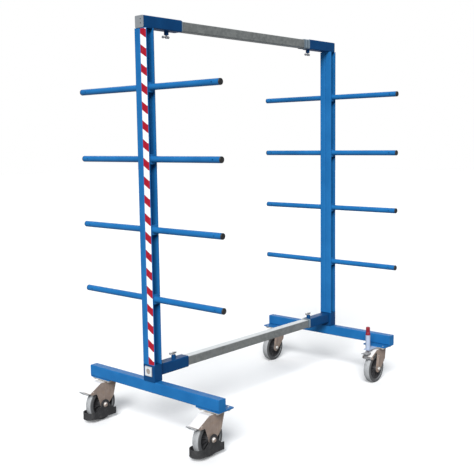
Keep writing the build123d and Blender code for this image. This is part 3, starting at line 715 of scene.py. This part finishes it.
def bent_plate(bm, pivot, line):
    """Slightly crowned sheet along its stations."""
    rows = []
    last = UP
    for index, (x, z, half) in enumerate(line):
        before, after = line[max(0, index - 1)], line[min(len(line) - 1, index + 1)]
        along = Vector((after[0] - before[0], 0, after[1] - before[1])).normalized()
        normal = Vector((along.z, 0, -along.x))
        if normal.dot(last) < 0:
            normal = -normal
        last = normal
        place = pivot + Vector((x, 0, z)) * MM
        row = []
        for layer in (1, -1):
            for k in range(PLATE_STEPS + 1):
                share = -1 + 2 * k / PLATE_STEPS
                crown = PLATE_CROWN * (1 - share * share)
                lift = normal * (layer * PLATE_HALF + crown) * MM
                row.append(bm.verts.new(place + Vector((0, share * half * MM, 0)) + lift))
        rows.append(row)
    width = PLATE_STEPS + 1
    for one, two in zip(rows, rows[1:]):
        for k in range(PLATE_STEPS):
            bm.faces.new((one[k], one[k + 1], two[k + 1], two[k]))
            bm.faces.new((one[width + k], two[width + k], two[width + k + 1], one[width + k + 1]))
        bm.faces.new((one[0], two[0], two[width], one[width]))
        bm.faces.new((one[width - 1], one[-1], two[-1], two[width - 1]))
    for row in (rows[0], rows[-1]):
        bm.faces.new(row[:width] + row[:width - 1:-1])


TREAD_RIB_REACH, TREAD_RIB_CROWN = 15.5, 0.8
TREAD_RIB_RADII = (0.9 * MM, 1.3 * MM, 1.4 * MM, 1.3 * MM, 0.9 * MM)
# The stretch that a tread's ribs share, as x and z from the pivot, and their number.
LONG_TREAD_RIBS = ((-37, -2.4), (-55, 10.2), 4)
SHORT_TREAD_RIBS = ((-42, 34.6), (4, 33.1), 7)


def tread_ribs(bm, pivot, start, end, count):
    """Rounded grip ribs across the tread, shared out between two places."""
    for k in range(count):
        share = (k + 0.5) / count
        x, z = start[0] + share * (end[0] - start[0]), start[1] + share * (end[1] - start[1])
        left = pivot + Vector((x, -TREAD_RIB_REACH, z)) * MM
        right = pivot + Vector((x, TREAD_RIB_REACH, z)) * MM
        middle = left.lerp(right, 0.5) + Vector((0, 0, TREAD_RIB_CROWN)) * MM
        points = [left, left.lerp(middle, 0.5), middle, middle.lerp(right, 0.5), right]
        sweep(bm, points, TREAD_RIB_RADII, 8)


PEDAL_HUB = [(4.2, -28.6), (8.4, -28.6), (9, -28), (9, -17), (8.2, -16), (8.2, 16), (9, 17),
             (9, 28), (8.4, 28.6), (4.2, 28.6)]


def make_pedal(caster):
    """Pressed pedal about its pivot: hub, bent arm and ribbed tread."""
    pivot = Vector(JOINTS[f"{caster}_brake_press"]["pos_m"])
    bm = bmesh.new()
    if caster.startswith("near"):
        bent_plate(bm, pivot, LONG_ARM)
        tread_ribs(bm, pivot, *LONG_TREAD_RIBS)
    else:
        bent_plate(bm, pivot, SHORT_ARM)
        bent_plate(bm, pivot, SHORT_TREAD)
        tread_ribs(bm, pivot, *SHORT_TREAD_RIBS)
    lathe(bm, pivot, ALONG_Y, PEDAL_HUB, 40)
    finish_piece(f"{caster}_pedal_body", bm, f"{caster}_brake", SLOT_OF[f"{caster}_pedal"], 45.0,
                 (f"{caster}_pedal",))


UPPER_RACE = [(39, 1.2), (41.6, 1.2), (43.2, 2.2), (43.8, 4.4), (43.0, 6.6), (41.2, 7.6),
              (39, 7.6)]
LOWER_RACE = [(36, -3.5), (43.8, -3.5), (44.6, -2.6), (44.6, -0.9), (43.9, 0.1), (41.5, 0.3),
              (36, 0.3)]


def make_races(caster):
    """Lipped ball-race rings between the head plate and the crown."""
    swivel = Vector(JOINTS[f"{caster}_swivel_turn"]["pos_m"])
    end = caster.split("_")[0]
    bm = bmesh.new()
    lathe(bm, swivel, UP, UPPER_RACE, 72)
    finish_piece(f"{caster}_upper_race", bm, f"{end}_frame", "zinc_head", 40.0)
    bm = bmesh.new()
    lathe(bm, swivel, UP, LOWER_RACE, 72)
    finish_piece(f"{caster}_lower_race", bm, f"{caster}_swivel", "zinc_fork", 40.0)


AXLE_CAP = [(11.4, 0.2), (11.4, 1.6), (10.9, 2.3), (10.2, 2.5), (9.9, 4.0), (9.3, 6.0), (7.6, 7.7),
            (4.6, 8.5), (2.4, 8.6), (2.0, 8.2), (0.6, 8.1)]
AXLE_CAP_HEIGHT = 8.6 * MM


def make_axle_cap(caster):
    """Turned domed cap on the front end of the axle bolt, with a rolled rim and a centre dimple."""
    axle = Vector(JOINTS[f"{caster}_wheel_spin"]["pos_m"])
    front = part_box(f"{caster}_fork")[0].y
    bm = bmesh.new()
    centre = Vector((axle.x, front + AXLE_CAP_HEIGHT, axle.z))
    solid_lathe(bm, centre, -ALONG_Y, AXLE_CAP, 48)
    finish_piece(f"{caster}_axle_cap", bm, f"{caster}_swivel", "zinc_head", 40.0)


ROLL_RADIUS = 2.4 * MM
ROLL_INSET = 1.6 * MM       # from the guard's faces to the middle of the roll
ROLL_GAP = 2 * MM           # from the guard's open end to the roll's
ROLL_STEPS, ROLL_TURN_STEPS = 12, 40


def make_guard_roll(caster):
    """Rolled bead round the lower edge of the foot guard."""
    low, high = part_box(f"{caster}_guard")
    half = (high.y - low.y) / 2
    middle = (low.y + high.y) / 2
    centre_x = low.x + half
    open_x = high.x - ROLL_GAP
    radius, z = half - ROLL_INSET, low.z + ROLL_INSET
    straight = [open_x + (centre_x - open_x) * k / ROLL_STEPS for k in range(ROLL_STEPS + 1)]
    points = [Vector((x, middle - radius, z)) for x in straight]
    for i in range(1, ROLL_TURN_STEPS):
        angle = -math.pi / 2 - math.pi * i / ROLL_TURN_STEPS
        x, y = centre_x + radius * math.cos(angle), middle + radius * math.sin(angle)
        points.append(Vector((x, y, z)))
    points += [Vector((x, middle + radius, z)) for x in reversed(straight)]
    bm = bmesh.new()
    sweep(bm, points, [ROLL_RADIUS] * len(points), 12)
    finish_piece(f"{caster}_guard_roll", bm, f"{caster}_swivel", "guard_black", 60.0)


for caster in CASTERS:
    make_wheel(caster)
    make_pedal(caster)
    make_races(caster)
    make_axle_cap(caster)
    if caster.startswith("near"):
        make_guard_roll(caster)


# ---- welds ------------------------------------------------------------------------------------
BOSS_HEIGHT = 20 * MM       # how far a clamp boss stands out of its sleeve
HEAVY_BEAD, TOP_BEAD, RING_BEAD, LIGHT_BEAD = 2.6 * MM, 2.3 * MM, 1.7 * MM, 1.6 * MM   # radii
BOSS_RING, ARM_RING = 12.2 * MM, 16.3 * MM      # radii of the rings round a boss and an arm
ARM_WELD_Y = 38.1 * MM      # from the rack's centre plane to the arms' welds
TOP_END_GAP = 3 * MM        # from a rail's edge to the end of the bead at its top
BASE_END_GAPS = 8 * MM, 7 * MM      # the same at the column's base, along x and y
BASE_TUCK = 0.985           # how far out the base's long beads lie, as a share of its half
FOOT_HALF_WELD = 22 * MM
STITCHES, STITCH = (0.03, 0.38, 0.73), 0.24     # starts and length, as shares of the run
STITCH_EDGE, STITCH_RUN = 4 * MM, 150 * MM      # from the plate's end to the run, and its length


def column_welds(bm, end):
    """Beads where the rails meet the top sleeve, and round the column's base."""
    rail_low, rail_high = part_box(f"{end}_rails")
    base_low, base_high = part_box(f"{end}_column_base")
    column_x = (rail_low.x + rail_high.x) / 2
    gap_x, gap_y = BASE_END_GAPS
    for y in (-SLEEVE_HALF, SLEEVE_HALF):
        start = Vector((rail_low.x + TOP_END_GAP, y, rail_high.z))
        bead_line(bm, start, Vector((rail_high.x - TOP_END_GAP, y, rail_high.z)), TOP_BEAD)
    for y in (base_low.y, base_high.y):
        start = Vector((column_x - FOOT_HALF_WELD, y, base_low.z))
        bead_line(bm, start, Vector((column_x + FOOT_HALF_WELD, y, base_low.z)), HEAVY_BEAD)
        start = Vector((rail_low.x + gap_x, y * BASE_TUCK, base_high.z))
        bead_line(bm, start, Vector((rail_high.x - gap_x, y * BASE_TUCK, base_high.z)), LIGHT_BEAD)
    for x in (rail_low.x, rail_high.x):
        start = Vector((x, base_low.y + gap_y, base_high.z))
        bead_line(bm, start, Vector((x, base_high.y - gap_y, base_high.z)), LIGHT_BEAD)


def plate_welds(bm, end):
    """Stitches between the foot beam and its two plates."""
    plate_low, plate_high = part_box(f"{end}_foot_plates")
    beam_low, beam_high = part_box(f"{end}_foot_beam")
    outer_left = beam_low.x - plate_low.x > 10 * MM
    x, z = beam_low.x if outer_left else beam_high.x, beam_low.z
    for side in (-1, 1):
        for share in STITCHES:
            start = side * (plate_high.y - (STITCH_EDGE + share * STITCH_RUN))
            stop = side * (plate_high.y - (STITCH_EDGE + (share + STITCH) * STITCH_RUN))
            bead_line(bm, Vector((x, start, z)), Vector((x, stop, z)), HEAVY_BEAD)


def boss_welds(bm, end):
    """Rings where the clamp bosses meet the sleeves."""
    for level in BAR_LEVELS:
        screw = JOINTS[f"{end}_{level}_clamp_screw_turn"]["pos_m"]
        low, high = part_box(f"{end}_{level}_sleeve")
        face = low.z + BOSS_HEIGHT if level == "top" else high.z - BOSS_HEIGHT
        bead_ring(bm, Vector((screw[0], 0, face)), UP, BOSS_RING, RING_BEAD)


def frame_welds(end):
    bm = bmesh.new()
    column_welds(bm, end)
    plate_welds(bm, end)
    boss_welds(bm, end)
    finish_piece(f"{end}_welds", bm, f"{end}_frame", "base_paint", 70.0)


def arm_welds(end, level):
    """Bead where each round arm meets its slider, just inside the slot."""
    low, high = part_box(f"{end}_arms_{level}")
    centre = (low + high) / 2
    bm = bmesh.new()
    for side in (-1, 1):
        place = Vector((centre.x, side * ARM_WELD_Y, centre.z))
        bead_ring(bm, place, ALONG_Y, ARM_RING, RING_BEAD)
    finish_piece(f"{end}_arm_welds_{level}", bm, f"{end}_arm_pair_{level}", "arm_paint", 70.0)


# ---- arm caps and screw threads ---------------------------------------------------------------
ARM_CAP = [(12.8, -20.0), (13.1, -19.0), (13.1, 0.05), (15.9, 0.05), (16.0, 0.5), (16.0, 1.9),
           (15.6, 2.3), (15.6, 2.6), (15.9, 2.9), (15.6, 4.0), (14.4, 5.2), (12.0, 6.1),
           (8.0, 6.75), (4.0, 7.0), (2.2, 7.0), (1.9, 6.5), (0.5, 6.4)]
ARM_CAP_HEIGHT = 7 * MM


def arm_caps(end, level):
    """Moulded arm caps: a stepped collar, a low dome and a sunk gate mark."""
    low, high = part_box(f"{end}_arm_caps_{level}")
    centre = (low + high) / 2
    bm = bmesh.new()
    for side in (-1, 1):
        place = Vector((centre.x, side * (high.y - ARM_CAP_HEIGHT), centre.z))
        solid_lathe(bm, place, side * ALONG_Y, ARM_CAP, 56)
    node = f"{end}_arm_caps_{level}"
    finish_piece(f"{end}_arm_ends_{level}", bm, f"{end}_arm_pair_{level}", "cap_plastic", 40.0,
                 (node,))


SCREW_HEAD_HEIGHT = 13 * MM
THREAD_TURNS, THREAD_STEPS = 2, 24
THREAD_START, THREAD_PITCH = 0.6, 1.4
THREAD_REACH, THREAD_RADIUS = 4.9 * MM, 0.55 * MM       # of the helix, and of its ridge


def screw_thread(end, level):
    """Thread ridges on the bare neck of a clamp screw."""
    low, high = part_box(f"{end}_{level}_clamp_screw")
    screw = JOINTS[f"{end}_{level}_clamp_screw_turn"]["pos_m"]
    up = level == "bottom"
    neck = (high.z - SCREW_HEAD_HEIGHT) if up else (low.z + SCREW_HEAD_HEIGHT)
    points = []
    for i in range(THREAD_TURNS * THREAD_STEPS + 1):
        angle = 2 * math.pi * i / THREAD_STEPS
        rise = (THREAD_START + THREAD_PITCH * i / THREAD_STEPS) * MM
        x, y = screw[0] + THREAD_REACH * math.cos(angle), screw[1] + THREAD_REACH * math.sin(angle)
        points.append(Vector((x, y, neck - rise if up else neck + rise)))
    bm = bmesh.new()
    sweep(bm, points, [THREAD_RADIUS] * len(points), 6)
    finish_piece(f"{end}_{level}_thread", bm, f"{end}_{level}_clamp_screw", "screw_steel", 70.0)


for end in ENDS:
    frame_welds(end)
    for level in ARM_LEVELS:
        arm_welds(end, level)
        arm_caps(end, level)
    for level in BAR_LEVELS:
        screw_thread(end, level)


# ---- warning tape -----------------------------------------------------------------------------
RAIL_CORNER = 6.0           # radius of the rail's outer corner, in millimetres
TAPE_FILM, TAPE_GAP = 0.3, 0.05     # thickness, and clearance from the rail
TAPE_TURN = 68              # degrees that the film follows round the rail's corner
TAPE_FLAT_STEPS, TAPE_TURN_STEPS, TAPE_LEVELS = 6, 8, 40


def make_tape():
    """Film on the flat of the front rail that wraps round its outer corner."""
    low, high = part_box("warning_tape")
    rail_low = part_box("near_rails")[0]
    flat_start, flat_end = high.y / MM, rail_low.y / MM + RAIL_CORNER
    face = rail_low.x / MM
    back, out = [], []
    for k in range(TAPE_FLAT_STEPS + 1):
        y = flat_start + (flat_end - flat_start) * k / TAPE_FLAT_STEPS
        back.append((face - TAPE_GAP, y))
        out.append((face - TAPE_GAP - TAPE_FILM, y))
    for k in range(1, TAPE_TURN_STEPS + 1):
        turn = math.radians(TAPE_TURN * k / TAPE_TURN_STEPS)
        for line, lift in ((back, TAPE_GAP), (out, TAPE_GAP + TAPE_FILM)):
            radius = RAIL_CORNER + lift
            line.append((face + RAIL_CORNER - radius * math.cos(turn),
                         flat_end - radius * math.sin(turn)))
    bm = bmesh.new()
    rows = []
    for k in range(TAPE_LEVELS + 1):
        z = low.z + (high.z - low.z) * k / TAPE_LEVELS
        rows.append([bm.verts.new((x * MM, y * MM, z)) for x, y in out + back[::-1]])
    for one, two in zip(rows, rows[1:]):
        join_rows(bm, one, two, True)
    for row in (rows[0], rows[-1]):
        for i in range(len(out) - 1):
            bm.faces.new((row[i], row[i + 1], row[-2 - i], row[-1 - i]))
    finish_piece("tape_film", bm, "near_frame", "tape", 50.0, ("warning_tape",))


make_tape()


# ---- direction lock ---------------------------------------------------------------------------
LOCK_CAP = [(0.6, 0.02), (13.9, 0.02), (14.5, 0.8), (14.5, 4.2), (14.0, 8.0), (13.2, 13.5),
            (12.6, 17.2), (11.7, 18.6), (11.7, 20.0), (12.5, 21.2), (12.5, 44.0), (12.1, 48.0)]
GRIP_FIRST, GRIP_LAST = 9, 11       # points of the cap's profile that are fluted
FLUTES, FLUTE_DEPTH = 14, 0.7
HOUSING_RADIUS, RING_HALF = 14.5, 0.8
RING_SUNK, RING_SLOPE = 0.3, 0.4
LOCK_RINGS = ((6.0, 0.8), (70.0, 0.6), (91.0, 0.8))     # height, and how far each stands out


def grip_flutes(index, angle, radius):
    if GRIP_FIRST <= index <= GRIP_LAST:
        return radius - FLUTE_DEPTH * (0.5 + 0.5 * math.cos(FLUTES * angle))
    return radius


def make_lock():
    """Fluted pull cap with a flared collar, on its pin, and the rings round the housing."""
    low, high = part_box("lock_pin")
    x, y = (low.x + high.x) / 2, (low.y + high.y) / 2
    house_low, house_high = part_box("lock_housing")
    foot = Vector((x, y, house_high.z))
    top, tip = (high.z - foot.z) / MM, (low.z - foot.z) / MM
    cap = LOCK_CAP + [(10.7, top - 1.6), (7.4, top - 0.3), (2.0, top), (0.6, top)]
    pin = [(0.5, tip), (4.6, tip), (6.0, tip + 1.5), (6.0, 0.0), (0.5, 0.0)]
    bm = bmesh.new()
    solid_lathe(bm, foot, UP, cap, 112, grip_flutes)
    solid_lathe(bm, foot, UP, pin, 40)
    finish_piece("lock_pull", bm, "lock_pin", "lock_red", 40.0, ("lock_pin",))
    bm = bmesh.new()
    for height, lift in LOCK_RINGS:
        centre = Vector((x, y, house_low.z + height * MM))
        root, edge, foot_half = HOUSING_RADIUS - RING_SUNK, HOUSING_RADIUS + lift, RING_HALF + RING_SLOPE
        ring = [(root, -foot_half), (edge, -RING_HALF), (edge, RING_HALF), (root, foot_half)]
        lathe(bm, centre, UP, ring, 64)
    finish_piece("lock_rings", bm, "far_frame", "lock_white", 40.0)


make_lock()


# ---- floor, light and background --------------------------------------------------------------
FLOOR_HALF = 30.0
FLOOR_SEEN = (0.86, 0.86, 0.86), (0.90, 0.90, 0.90)
FLOOR_BOUNCE = (0.28, 0.28, 0.28)
FLOOR_GLOW = 0.08


def make_floor():
    """Pale floor, which is darker to the light that it bounces than to the eye."""
    mesh = bpy.data.meshes.new("floor")
    corners = [(x * FLOOR_HALF, y * FLOOR_HALF, 0) for x, y in ((-1, -1), (1, -1), (1, 1), (-1, 1))]
    mesh.from_pydata(corners, [], [(0, 1, 2, 3)])
    s = Surface("floor", roughness=0.9, specular=0.05)
    seen = s.tree.nodes.new("ShaderNodeLightPath").outputs["Is Camera Ray"]
    s.colour(s.mix(seen, FLOOR_BOUNCE, s.mix(s.noise(1.5, 4.0), *FLOOR_SEEN)))
    s.shader.inputs["Emission Color"].default_value = (1, 1, 1, 1)
    s.shader.inputs["Emission Strength"].default_value = FLOOR_GLOW
    mesh.materials.append(s.material)
    floor = bpy.data.objects.new("floor", mesh)
    bpy.context.scene.collection.objects.link(floor)


def make_sun(name, towards, energy, spread):
    """A sun that shines towards a direction; its spread in degrees softens its shadows."""
    data = bpy.data.lights.new(name, "SUN")
    data.energy = energy
    data.angle = math.radians(spread)
    sun = bpy.data.objects.new(name, data)
    sun.rotation_mode = "QUATERNION"
    sun.rotation_quaternion = Vector(towards).to_track_quat("-Z", "Y")
    bpy.context.scene.collection.objects.link(sun)


SKY_TINT, SKY_STRENGTH = (0.86, 0.93, 1.0, 1), 0.3


def make_world():
    """White to the eye, bluish and weaker as a light."""
    world = bpy.data.worlds.new("world")
    bpy.context.scene.world = world
    world.use_nodes = True
    tree = world.node_tree
    seen = tree.nodes["Background"]
    seen.inputs["Color"].default_value = (1, 1, 1, 1)
    seen.inputs["Strength"].default_value = 1.0
    soft = tree.nodes.new("ShaderNodeBackground")
    soft.inputs["Color"].default_value = SKY_TINT
    soft.inputs["Strength"].default_value = SKY_STRENGTH
    choice = tree.nodes.new("ShaderNodeMixShader")
    eye = tree.nodes.new("ShaderNodeLightPath").outputs["Is Camera Ray"]
    for source, target in zip((eye, soft.outputs[0], seen.outputs[0]), choice.inputs):
        tree.links.new(source, target)
    tree.links.new(choice.outputs[0], tree.nodes["World Output"].inputs["Surface"])


make_camera()
make_floor()
make_world()
make_sun("key", (0.72, 0.46, -0.62), 4.4, 30.0)
make_sun("fill", (-0.55, -0.60, -0.40), 0.9, 60.0)
bpy.context.scene.view_settings.view_transform = "Standard"
